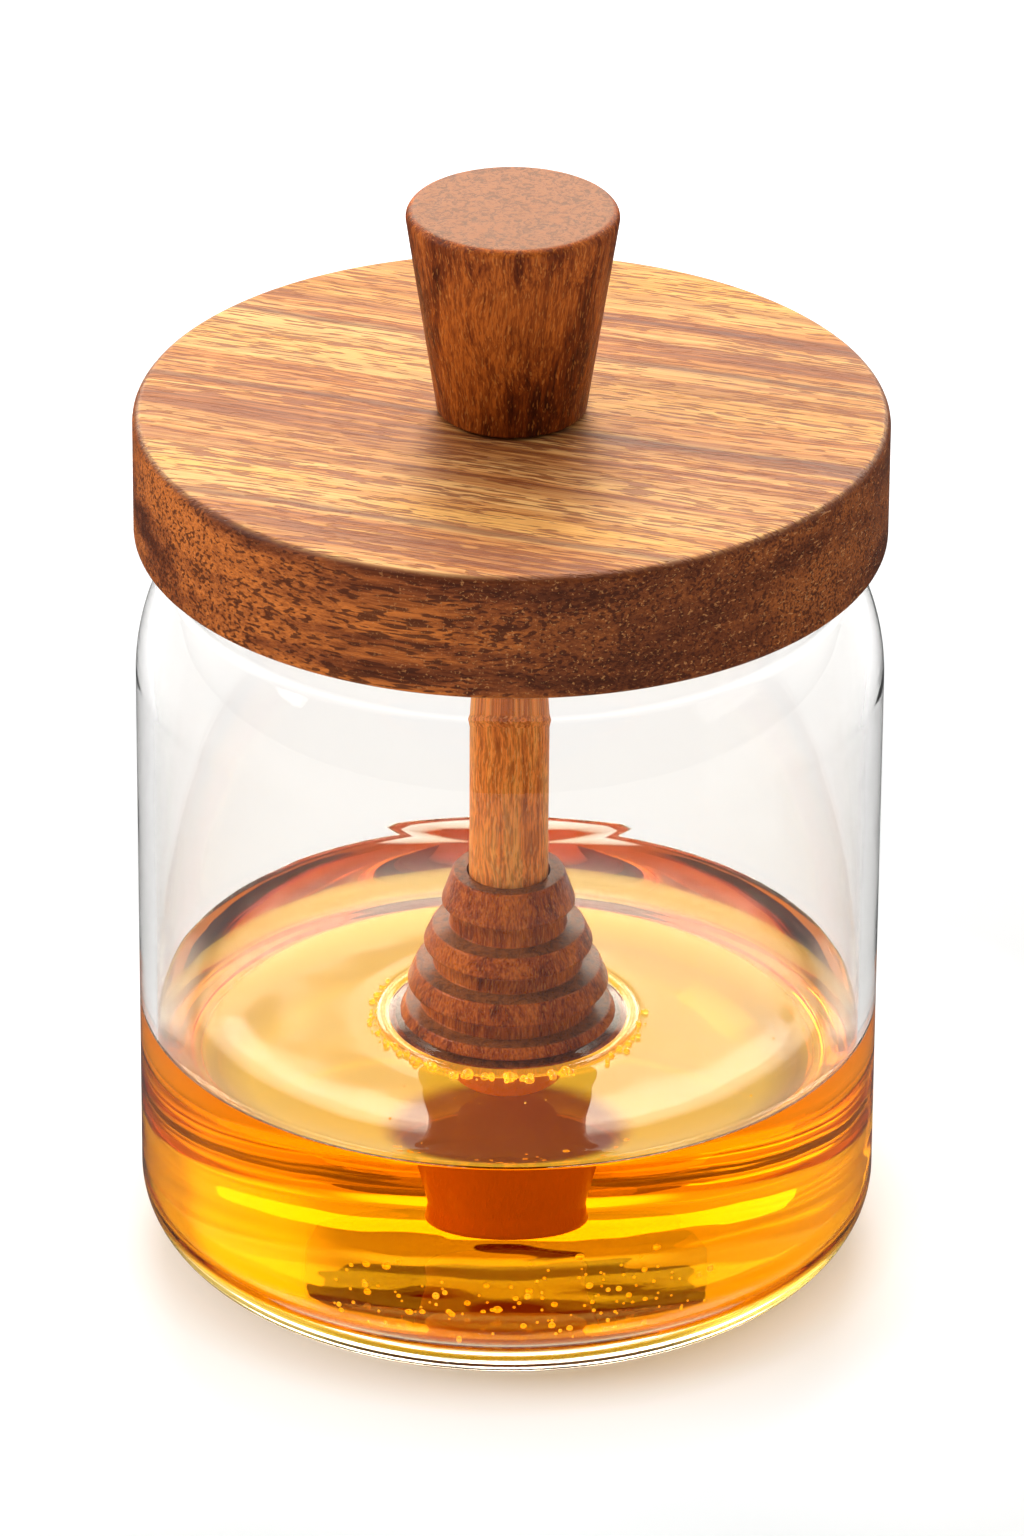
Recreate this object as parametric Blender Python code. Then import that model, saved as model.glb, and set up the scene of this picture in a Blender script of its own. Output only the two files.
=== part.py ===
"""A clear glass honey jar with a round wooden lid, and a honey dipper hanging from the lid.

Every piece is turned about the jar's upright axis. Sizes below are millimetres, and the
origin is the middle of the jar's foot, on the surface that it stands on.
"""
import math

import bmesh
import bpy

MILLIMETRE = 0.001

# Between two pieces that touch
GAP = 0.3

# Glass jar
JAR_RADIUS = 47.5
GLASS_WALL = 2.2
FLOOR_THICKNESS = 5.2
HEEL_ROUND = 8.7
SHOULDER_START = 79.5
SHOULDER_ROUND = 26.0
NECK_RADIUS = 43.3
NECK_ROUND = 2.0
RIM_HEIGHT = 98.8

# Honey: its flat level, and how it climbs the glass and the dipper. The climb at the glass is
# drawn through these distances from the glass.
HONEY_LEVEL = 29.5
GLASS_CLIMB = 3.3
GLASS_CLIMB_WIDTH = 5.0
GLASS_CLIMB_STEPS = (17.0, 10.0, 5.5, 2.4, 0.0)
DIPPER_CLIMB = 0.9
DIPPER_CLIMB_WIDTH = 2.4

# Wooden lid, with a shallow step underneath that finds the jar's mouth
LID_RADIUS = 47.55
LID_THICKNESS = 16.7
LID_TOP_ROUND = 1.3
LID_FOOT_ROUND = 0.8
STEP_RADIUS = 40.2
STEP_DEPTH = 2.4

# Tapered knob
KNOB_FOOT_RADIUS = 9.4
KNOB_TOP_RADIUS = 13.4
KNOB_HEIGHT = 27.3
KNOB_TOP_ROUND = 1.2
KNOB_FOOT_ROUND = 0.5
KNOB_SOCKET_DEPTH = 12.0

# Dipper: a straight rod glued into a turned head
ROD_RADIUS = 5.1
HEAD_SOCKET_DEPTH = 7.0
# One row for each ring of the head, from the top down:
# lower edge's height and radius, then upper edge's height and radius
HEAD_RINGS = [
    (46.3, 8.75, 50.8, 7.2),
    (40.3, 11.1, 43.0, 9.9),
    (34.6, 13.15, 37.4, 12.0),
    (30.1, 14.1, 31.8, 13.3),
    (27.6, 15.3, 29.3, 14.5),
    (23.4, 12.0, 25.6, 12.8),
]
RING_BULGE = 0.25
# Radius left at the bottom of a groove, as a share of the smaller edge beside it
GROOVE_SHARE = 0.865
GROOVE_SLOPE = 0.4
TAIL_TOP_RADIUS = 8.4
TAIL_WAIST_RADIUS = 6.3
TAIL_WAIST_HEIGHT = 11.2
TAIL_FOOT_RADIUS = 6.7
TAIL_FOOT_HEIGHT = 8.0
TAIL_FOOT_ROUND = 1.0

# Sides of each turned piece
JAR_SIDES = 60
HONEY_SIDES = 48
LID_SIDES = 64
KNOB_SIDES = 40
ROD_SIDES = 32
HEAD_SIDES = 40

# Edges sharper than this stay crisp
CREASE_DEGREES = 35.0

LID_BOTTOM = RIM_HEIGHT + GAP
LID_TOP = LID_BOTTOM + LID_THICKNESS
KNOB_BOTTOM = LID_TOP + GAP
KNOB_TOP = KNOB_BOTTOM + KNOB_HEIGHT
HEAD_TOP = HEAD_RINGS[0][2]


def arc(center, radii, start, end, steps):
    """Points of a round in a profile: center and radii are (across, up), angles are degrees."""
    points = []
    for step in range(steps + 1):
        angle = math.radians(start + (end - start) * step / steps)
        points.append((center[0] + radii[0] * math.cos(angle), center[1] + radii[1] * math.sin(angle)))
    return points


def round_arc(center, radius, start, end, steps):
    return arc(center, (radius, radius), start, end, steps)


def jar_profile():
    """The jar's outside from the axis to the rim, and its inside back down to the axis."""
    inner_round = HEEL_ROUND - GLASS_WALL
    heel_center = (JAR_RADIUS - HEEL_ROUND, HEEL_ROUND)
    floor_center = (JAR_RADIUS - HEEL_ROUND, FLOOR_THICKNESS + inner_round)
    shoulder_center = (JAR_RADIUS - SHOULDER_ROUND, SHOULDER_START)

    # The shoulder's round meets the neck's hollow where their centres line up
    reach = SHOULDER_ROUND + NECK_ROUND
    across = NECK_RADIUS + NECK_ROUND - shoulder_center[0]
    turn = math.degrees(math.acos(across / reach))
    neck_center = (NECK_RADIUS + NECK_ROUND, SHOULDER_START + reach * math.sin(math.radians(turn)))
    lip = GLASS_WALL / 2
    lip_center = (NECK_RADIUS - lip, RIM_HEIGHT - lip)

    outside = [(0.0, 0.0)]
    outside += round_arc(heel_center, HEEL_ROUND, -90, 0, 6)
    outside += round_arc(shoulder_center, SHOULDER_ROUND, 0, turn, 5)
    outside += round_arc(neck_center, NECK_ROUND, 180 + turn, 180, 2)[1:]
    inside = round_arc(lip_center, lip, 0, 180, 4)
    inside += round_arc(neck_center, NECK_ROUND + GLASS_WALL, 180, 180 + turn, 2)
    inside += round_arc(shoulder_center, SHOULDER_ROUND - GLASS_WALL, turn, 0, 5)[1:]
    inside += round_arc(floor_center, inner_round, 0, -90, 6)
    inside.append((0.0, FLOOR_THICKNESS))
    return outside + inside


def honey_profile():
    """The honey from under the dipper's foot, up round the dipper, over its surface and down the glass."""
    widest = max(ring[1] for ring in HEAD_RINGS) + GAP
    lowest = HEAD_RINGS[-1]
    below_widest = HEAD_RINGS[-2][0] - GAP
    inner_round = HEEL_ROUND - GLASS_WALL
    side = JAR_RADIUS - GLASS_WALL - GAP
    floor_center = (JAR_RADIUS - HEEL_ROUND, FLOOR_THICKNESS + inner_round)

    profile = [
        (0.0, TAIL_FOOT_HEIGHT - GAP),
        (TAIL_FOOT_RADIUS + GAP, TAIL_FOOT_HEIGHT - GAP),
        (TAIL_FOOT_RADIUS + GAP, TAIL_WAIST_HEIGHT),
        (TAIL_TOP_RADIUS + 2 * GAP, lowest[0] - GAP),
        (lowest[3] + GAP, lowest[0] - GAP),
        (lowest[3] + GAP, below_widest),
        (widest, below_widest),
    ]
    profile += arc((widest + DIPPER_CLIMB_WIDTH, HONEY_LEVEL + DIPPER_CLIMB),
                   (DIPPER_CLIMB_WIDTH, DIPPER_CLIMB), 180, 270, 3)
    profile += [(side - away, HONEY_LEVEL + GLASS_CLIMB * math.exp(-away / GLASS_CLIMB_WIDTH))
                for away in GLASS_CLIMB_STEPS]
    profile += round_arc(floor_center, inner_round - GAP, 0, -90, 5)
    profile.append((0.0, FLOOR_THICKNESS + GAP))
    return profile


def lid_profile():
    """The lid as a ring round the rod's hole: step, underside, edge and top."""
    hole = ROD_RADIUS + GAP
    return (
        [(hole, LID_BOTTOM - STEP_DEPTH), (STEP_RADIUS, LID_BOTTOM - STEP_DEPTH), (STEP_RADIUS, LID_BOTTOM)]
        + round_arc((LID_RADIUS - LID_FOOT_ROUND, LID_BOTTOM + LID_FOOT_ROUND), LID_FOOT_ROUND, -90, 0, 2)
        + round_arc((LID_RADIUS - LID_TOP_ROUND, LID_TOP - LID_TOP_ROUND), LID_TOP_ROUND, 0, 90, 3)
        + [(hole, LID_TOP)]
    )


def knob_profile():
    """The knob, wider at its top, with a blind socket for the rod."""
    socket = ROD_RADIUS + GAP
    flare = math.degrees(math.atan2(KNOB_TOP_RADIUS - KNOB_FOOT_RADIUS, KNOB_HEIGHT))
    socket_roof = KNOB_BOTTOM + KNOB_SOCKET_DEPTH
    return (
        [(0.0, socket_roof), (socket, socket_roof), (socket, KNOB_BOTTOM)]
        + round_arc((KNOB_FOOT_RADIUS - KNOB_FOOT_ROUND, KNOB_BOTTOM + KNOB_FOOT_ROUND),
                    KNOB_FOOT_ROUND, -90, -flare, 2)
        + round_arc((KNOB_TOP_RADIUS - KNOB_TOP_ROUND, KNOB_TOP - KNOB_TOP_ROUND),
                    KNOB_TOP_ROUND, -flare, 90, 4)
        + [(0.0, KNOB_TOP)]
    )


def rod_profile():
    foot = HEAD_TOP - HEAD_SOCKET_DEPTH + GAP
    head = KNOB_BOTTOM + KNOB_SOCKET_DEPTH - GAP
    return [(0.0, foot), (ROD_RADIUS, foot), (ROD_RADIUS, head), (0.0, head)]


def head_profile():
    """The head from its foot up: a tapered tail, then a ring and a groove in turn, then the rod's socket."""
    profile = [(0.0, TAIL_FOOT_HEIGHT)]
    profile += round_arc((TAIL_FOOT_RADIUS - TAIL_FOOT_ROUND, TAIL_FOOT_HEIGHT + TAIL_FOOT_ROUND),
                         TAIL_FOOT_ROUND, -90, 0, 2)
    profile.append((TAIL_WAIST_RADIUS, TAIL_WAIST_HEIGHT))
    groove_radius = TAIL_TOP_RADIUS
    rings = list(reversed(HEAD_RINGS))
    for index, (low, low_radius, high, high_radius) in enumerate(rings):
        middle = ((low_radius + high_radius) / 2 + RING_BULGE, (low + high) / 2)
        profile += [(groove_radius, low), (low_radius, low), middle, (high_radius, high)]
        if index + 1 < len(rings):
            groove_radius = min(rings[index + 1][1], high_radius) * GROOVE_SHARE
            profile.append((groove_radius, high + GROOVE_SLOPE))
    socket = ROD_RADIUS + GAP
    socket_floor = HEAD_TOP - HEAD_SOCKET_DEPTH
    profile += [(socket, HEAD_TOP), (socket, socket_floor), (0.0, socket_floor)]
    return profile


def make_material(name, color, roughness, clearness=0.0, refraction=1.5):
    material = bpy.data.materials.new(name)
    material.use_nodes = True
    surface = material.node_tree.nodes["Principled BSDF"]
    surface.inputs["Base Color"].default_value = (*color, 1.0)
    surface.inputs["Roughness"].default_value = roughness
    surface.inputs["Metallic"].default_value = 0.0
    surface.inputs["Transmission Weight"].default_value = clearness
    surface.inputs["IOR"].default_value = refraction
    material.diffuse_color = (*color, 1.0)
    return material


def turn_piece(name, profile, sides, material, hole=False):
    """Spins a profile once round the upright axis. A piece with a hole has its profile closed first."""
    bm = bmesh.new()
    corners = [bm.verts.new((across * MILLIMETRE, 0.0, up * MILLIMETRE)) for across, up in profile]
    lines = [bm.edges.new(pair) for pair in zip(corners, corners[1:])]
    if hole:
        lines.append(bm.edges.new((corners[-1], corners[0])))
    bmesh.ops.spin(bm, geom=corners + lines, cent=(0, 0, 0), axis=(0, 0, 1),
                   angle=math.tau, steps=sides, use_merge=True)
    bmesh.ops.remove_doubles(bm, verts=bm.verts, dist=0.01 * MILLIMETRE)
    bmesh.ops.recalc_face_normals(bm, faces=bm.faces)
    mesh = bpy.data.meshes.new(name)
    bm.to_mesh(mesh)
    bm.free()
    mesh.shade_smooth()
    mesh.set_sharp_from_angle(angle=math.radians(CREASE_DEGREES))
    mesh.materials.append(material)
    piece = bpy.data.objects.new(name, mesh)
    bpy.context.scene.collection.objects.link(piece)
    return piece


def build():
    for thing in list(bpy.data.objects):
        bpy.data.objects.remove(thing, do_unlink=True)

    glass = make_material("clear_glass", (0.97, 0.98, 0.97), 0.02, clearness=1.0)
    amber = make_material("amber_honey", (0.95, 0.50, 0.04), 0.03, clearness=0.9)
    lid_wood = make_material("streaked_lid_wood", (0.50, 0.22, 0.075), 0.42)
    knob_wood = make_material("brown_knob_wood", (0.28, 0.095, 0.032), 0.45)
    rod_wood = make_material("plain_rod_wood", (0.36, 0.14, 0.05), 0.50)
    head_wood = make_material("wet_dipper_wood", (0.24, 0.065, 0.018), 0.20)

    turn_piece("glass_jar", jar_profile(), JAR_SIDES, glass)
    turn_piece("honey", honey_profile(), HONEY_SIDES, amber)
    turn_piece("wooden_lid", lid_profile(), LID_SIDES, lid_wood, hole=True)
    turn_piece("lid_knob", knob_profile(), KNOB_SIDES, knob_wood)
    turn_piece("dipper_rod", rod_profile(), ROD_SIDES, rod_wood)
    turn_piece("dipper_head", head_profile(), HEAD_SIDES, head_wood)


build()
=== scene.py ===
"""The looks of a clear glass honey jar with a wooden lid and a dipper that hangs in the honey.

Every piece is turned about the jar's upright axis. Sizes are millimetres until a mesh is made of them.
"""
import math

import bmesh
import bpy
from mathutils import Matrix, Vector


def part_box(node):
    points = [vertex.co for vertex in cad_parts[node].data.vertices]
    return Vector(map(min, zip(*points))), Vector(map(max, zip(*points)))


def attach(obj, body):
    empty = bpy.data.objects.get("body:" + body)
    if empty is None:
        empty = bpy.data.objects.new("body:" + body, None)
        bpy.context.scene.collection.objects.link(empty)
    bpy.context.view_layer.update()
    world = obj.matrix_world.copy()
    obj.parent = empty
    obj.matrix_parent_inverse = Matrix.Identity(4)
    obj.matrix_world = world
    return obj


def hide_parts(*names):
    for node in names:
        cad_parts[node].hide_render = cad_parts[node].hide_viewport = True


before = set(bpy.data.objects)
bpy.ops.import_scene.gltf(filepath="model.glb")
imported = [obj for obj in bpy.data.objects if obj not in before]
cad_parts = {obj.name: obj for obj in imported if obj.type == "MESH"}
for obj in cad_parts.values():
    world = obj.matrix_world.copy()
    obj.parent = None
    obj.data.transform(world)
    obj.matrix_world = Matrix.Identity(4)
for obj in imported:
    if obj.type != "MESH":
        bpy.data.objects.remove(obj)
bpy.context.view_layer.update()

MILLIMETRE = 0.001
BODY = "root"


def node_size(node):
    """A node's radius, foot and top in millimetres, from the frame."""
    low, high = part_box(node)
    return high[0] / MILLIMETRE, low[2] / MILLIMETRE, high[2] / MILLIMETRE


JAR_RADIUS, _, RIM_HEIGHT = node_size("glass_jar")
_, _, HONEY_EDGE = node_size("honey")
LID_RADIUS, LID_STEP_FOOT, LID_TOP = node_size("wooden_lid")
KNOB_RADIUS, KNOB_FOOT, KNOB_TOP = node_size("lid_knob")
ROD_RADIUS, ROD_FOOT, ROD_TOP = node_size("dipper_rod")
_, HEAD_FOOT, HEAD_TOP = node_size("dipper_head")

# Glass
GLASS_WALL = 2.2
FLOOR_THICKNESS = 5.2
HEEL_ROUND = 8.7
SHOULDER_START = 79.5
SHOULDER_ROUND = 26.0
NECK_RADIUS = 43.3
NECK_ROUND = 2.0
INNER_RADIUS = JAR_RADIUS - GLASS_WALL

# Honey
HONEY_LEVEL = 29.5
HONEY_INTO_GLASS = 0.5
GLASS_CLIMB_WIDTH = 5.0
DIPPER_CLIMB = 1.0
DIPPER_CLIMB_WIDTH = 1.3
DIPPER_TOUCH = 14.6

# Lid and knob
LID_FOOT = RIM_HEIGHT + 0.3
LID_TOP_ROUND = 1.3
LID_FOOT_ROUND = 0.8
LID_STEP_RADIUS = 40.2
KNOB_FOOT_RADIUS = 9.4
KNOB_TOP_ROUND = 1.2
# How far the taper would run past the knob's widest ring without its rounded edge
KNOB_FLARE = 0.14
KNOB_FOOT_ROUND = 0.5
ROD_GAP = 0.3
SOCKET_DEPTH = 7.0

# Rings of the dipper's head from the top down: lower edge's height and radius, then the upper edge's
HEAD_RINGS = [
    (46.3, 8.75, 50.8, 7.2),
    (40.3, 11.1, 43.0, 9.9),
    (34.6, 13.15, 37.4, 12.0),
    (30.1, 14.1, 31.8, 13.3),
    (27.6, 15.3, 29.3, 14.5),
    (23.4, 12.0, 25.6, 12.8),
]
GROOVE_SHARE = 0.865
GROOVE_SLOPE = 0.4
TAIL_TOP_RADIUS = 8.4
TAIL_WAIST = (6.3, 11.2)
TAIL_FOOT_RADIUS = 6.7
# Below the second height the dipper's wood is painted lighter and given a painted glow, as if lit through the
# honey; above the first it is not
SUNK_LIGHT_HEIGHTS = (25.0, 20.0)
SUNK_PAINTED_GLOW = (0.22, 0.060, 0.0)

# Beads of the ring round the dipper, and bubbles sunk near the front and floating on the honey:
# how many, nearest and farthest from the axis, lowest and highest, turn of the middle and half
# width of the arc in degrees (0 is the front), smallest and largest radius, seed
BEADS = (90, 17.0, 18.2, 0.10, 0.35, -12.0, 108.0, 0.15, 0.48, 11)
BIG_BEADS = (24, 17.0, 18.1, 0.15, 0.35, -16.0, 46.0, 0.42, 0.80, 4)
SUNK_BUBBLES = (120, 27.0, 42.5, 6.2, 13.5, 2.0, 34.0, 0.14, 0.50, 7)
FLOATING_BUBBLES = (16, 22.0, 40.0, 0.02, 0.08, 30.0, 75.0, 0.08, 0.20, 3)
# Powers that keep most of the balls low, and most of them small
LOW_POWER = 1.6
SMALL_POWER = 2.5

# Rounded rim of honey round the dipper, which takes the beads' painted glow
COLLAR_RADIUS = 16.2
COLLAR_LIFT = 0.25
COLLAR_WIDTH = 0.9
COLLAR_HEIGHT = 0.5

GRAIN_ANGLE = math.radians(-17.5)

GLASS_COLOR = (0.973, 0.964, 0.950, 1.0)
GLASS_MIRROR = 0.4
GLASS_IOR = 1.5
# What glass and honey let through of the lamps' light
GLASS_SHADE = (0.97, 0.97, 0.97, 1.0)
HONEY_SHADE = (0.38, 0.38, 0.38, 1.0)

# What honey takes from light that crosses it: 125 for each metre where the tint is 0
HONEY_TINT = (0.9744, 0.834, 0.0, 1.0)
HONEY_DENSITY = 125.0
HONEY_IOR = 1.49
WOOD_IOR = 1.5

# Sides of the turned pieces
GLASS_SIDES = 224
LID_SIDES = 192
DIPPER_SIDES = 160
KNOB_SIDES = 128
ROD_SIDES = 96
# Edges that turn by more than this stay sharp
CREASE_ANGLE = math.radians(38.0)

# Turned woods: three shades from dark to light, the flecks' color and the ends' color
KNOB_WOOD = ([(0.070, 0.011, 0.002), (0.230, 0.042, 0.004), (0.470, 0.110, 0.012)],
             (0.66, 0.23, 0.045), (0.31, 0.130, 0.066))
ROD_WOOD = ([(0.600, 0.140, 0.020), (0.950, 0.265, 0.040), (1.000, 0.390, 0.075)],
            (0.90, 0.42, 0.12), (0.45, 0.18, 0.06))
DIPPER_WOOD = ([(0.150, 0.022, 0.002), (0.400, 0.072, 0.006), (0.580, 0.130, 0.011)],
               (0.72, 0.24, 0.035), (0.26, 0.075, 0.014))
# Painted light: the dipper's wood deep in the honey is painted this lighter color, as if lit through it
SUNK_PAINTED_COLOR = (0.95, 0.36, 0.05)

# Painted glow of the beads on the honey and the bubbles in it, which are no lamps: how much they glow
BEAD_GLOW = 0.25
BUBBLE_GLOW = 0.35


class Field:
    """A number or colour that a material's nodes work out. It adds and multiplies like a number."""

    def __init__(self, socket):
        self.socket = socket
        self.tree = socket.id_data

    def math(self, operation, left, right):
        node = self.tree.nodes.new("ShaderNodeMath")
        node.operation = operation
        feed(node.inputs[0], left)
        feed(node.inputs[1], right)
        return Field(node.outputs[0])

    def __add__(self, other):
        return self.math("ADD", self, other)

    def __radd__(self, other):
        return self.math("ADD", other, self)

    def __sub__(self, other):
        return self.math("SUBTRACT", self, other)

    def __rsub__(self, other):
        return self.math("SUBTRACT", other, self)

    def __mul__(self, other):
        return self.math("MULTIPLY", self, other)

    def __rmul__(self, other):
        return self.math("MULTIPLY", other, self)

    def __truediv__(self, other):
        return self.math("DIVIDE", self, other)

    def __abs__(self):
        return self.math("ABSOLUTE", self, 0.0)

    def __pow__(self, other):
        return self.math("POWER", self, other)

    def least(self, other):
        return self.math("MINIMUM", self, other)

    def most(self, other):
        return self.math("MAXIMUM", self, other)


def feed(socket, value):
    """Links a field to a socket, or writes a plain value into it."""
    if isinstance(value, Field):
        value.tree.links.new(value.socket, socket)
    elif value is not None:
        socket.default_value = value


class Board:
    """A node tree being written. node() adds any node: its settings first, then its sockets."""

    def __init__(self, owner):
        owner.use_nodes = True
        self.tree = owner.node_tree
        self.tree.nodes.clear()

    def node(self, kind, settings=None, inputs=None, output=0):
        new = self.tree.nodes.new(kind)
        for name, value in (settings or {}).items():
            if name == "stops":
                set_stops(new.color_ramp, value)
            else:
                setattr(new, name, value)
        for name, value in (inputs or {}).items():
            feed(new.inputs[name], value)
        return Field(new.outputs[output])

    def parts(self, vector):
        node = self.tree.nodes.new("ShaderNodeSeparateXYZ")
        feed(node.inputs[0], vector)
        return [Field(output) for output in node.outputs]

    def point(self, x, y, z):
        return self.node("ShaderNodeCombineXYZ", None, {"X": x, "Y": y, "Z": z})

    def noise(self, vector, detail=2.0, roughness=0.5, scale=1.0, distortion=0.0):
        return self.node("ShaderNodeTexNoise", None,
                         {"Vector": vector, "Scale": scale, "Detail": detail, "Roughness": roughness,
                          "Distortion": distortion})

    def step(self, value, low, high, bottom=0.0, top=1.0):
        """Rises smoothly from bottom to top while value goes from low to high."""
        return self.node("ShaderNodeMapRange", {"interpolation_type": "SMOOTHSTEP"},
                         {"Value": value, "From Min": low, "From Max": high, "To Min": bottom, "To Max": top})

    def mix(self, share, first, second, blend="MIX"):
        node = self.tree.nodes.new("ShaderNodeMix")
        node.data_type = "RGBA"
        node.blend_type = blend
        feed(node.inputs["Factor"], share)
        colors = [socket for socket in node.inputs if socket.type == "RGBA"]
        feed(colors[0], first if isinstance(first, Field) else (*first, 1.0))
        feed(colors[1], second if isinstance(second, Field) else (*second, 1.0))
        return Field([socket for socket in node.outputs if socket.type == "RGBA"][0])

    def ramp(self, value, stops):
        return self.node("ShaderNodeValToRGB", {"stops": stops}, {"Fac": value})

    def shader(self, kind, **inputs):
        """Adds a shader. A name's underscores stand for spaces."""
        return self.node(kind, None, {name.replace("_", " "): value for name, value in inputs.items()})


class Finish(Board):
    """A material being written for one kind of piece."""

    def __init__(self, name):
        self.material = bpy.data.materials.new(name)
        super().__init__(self.material)
        self.place = self.node("ShaderNodeTexCoord", output="Object")

    def millimetres(self, turn=0.0):
        """Object coordinates in millimetres, turned about the upright axis."""
        return self.node("ShaderNodeMapping", {"vector_type": "TEXTURE"},
                         {"Vector": self.place, "Rotation": (0.0, 0.0, turn), "Scale": (MILLIMETRE,) * 3})

    def bump(self, height, distance, strength):
        """height runs from 0 to 1, and distance is what 1 stands for, in millimetres."""
        return self.node("ShaderNodeBump", None,
                         {"Height": height, "Distance": distance * MILLIMETRE, "Strength": strength})

    def surface(self, lamp_color=None, **inputs):
        """Ends the material in a Principled surface. Lamps shine through one that has a lamp_color."""
        shader = self.shader("ShaderNodeBsdfPrincipled", **inputs)
        if lamp_color:
            shadow = self.node("ShaderNodeLightPath", output="Is Shadow Ray")
            clear = self.shader("ShaderNodeBsdfTransparent", Color=lamp_color)
            shader = self.node("ShaderNodeMixShader", None, {0: shadow, 1: shader, 2: clear})
        self.out = self.tree.nodes.new("ShaderNodeOutputMaterial")
        feed(self.out.inputs["Surface"], shader)
        return self.material


def set_stops(ramp, stops):
    while len(ramp.elements) > 1:
        ramp.elements.remove(ramp.elements[-1])
    for index, (place, color) in enumerate(stops):
        element = ramp.elements[0] if index == 0 else ramp.elements.new(place)
        element.position = place
        element.color = (*color, 1.0)


# Dark streaks of the lid's top in millimetres: place across the grain, half width, darkness, and
# where along the grain each starts and ends
LID_STREAKS = [
    (36.5, 1.4, 0.40, -60, 60),
    (29.6, 0.9, 0.80, -5, 60),
    (24.0, 1.0, 0.35, -60, 60),
    (18.0, 0.60, 1.00, -46, 46),
    (12.5, 0.9, 0.30, -60, 60),
    (6.0, 0.7, 0.35, -60, 10),
    (-3.7, 0.65, 1.00, -60, 60),
    (-4.4, 2.3, 0.75, 12, 60),
    (-9.0, 0.9, 0.30, -60, 60),
    (-14.0, 2.4, 0.30, -60, 60),
    (-20.5, 1.2, 0.35, -60, 60),
    (-34.0, 0.75, 0.85, -34, 36),
    (-40.5, 2.0, 0.35, -60, 60),
]
# Golden bands, with the same values
LID_GOLD = [
    (40.0, 5.0, 0.8, -60, 60),
    (27.0, 2.2, 0.5, -60, 0),
    (9.0, 3.5, 0.4, -60, 60),
    (-27.2, 1.3, 0.9, -42, -14),
    (-30.0, 2.0, 1.0, -8, 34),
]


def band_sum(finish, along, across, bands):
    """Sum of soft bands at given places across the grain, each between two places along it."""
    total = 0.0
    for place, half_width, strength, start, end in bands:
        away = abs(across - place) / (2 * half_width)
        band = finish.step(away, 1.0, 0.0, 0.0, strength)
        if start > -LID_RADIUS:
            band = band * finish.step(along, start - 3.0, start + 5.0)
        if end < LID_RADIUS:
            band = band * finish.step(along, end + 3.0, end - 5.0)
        total = band + total
    return total


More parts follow.
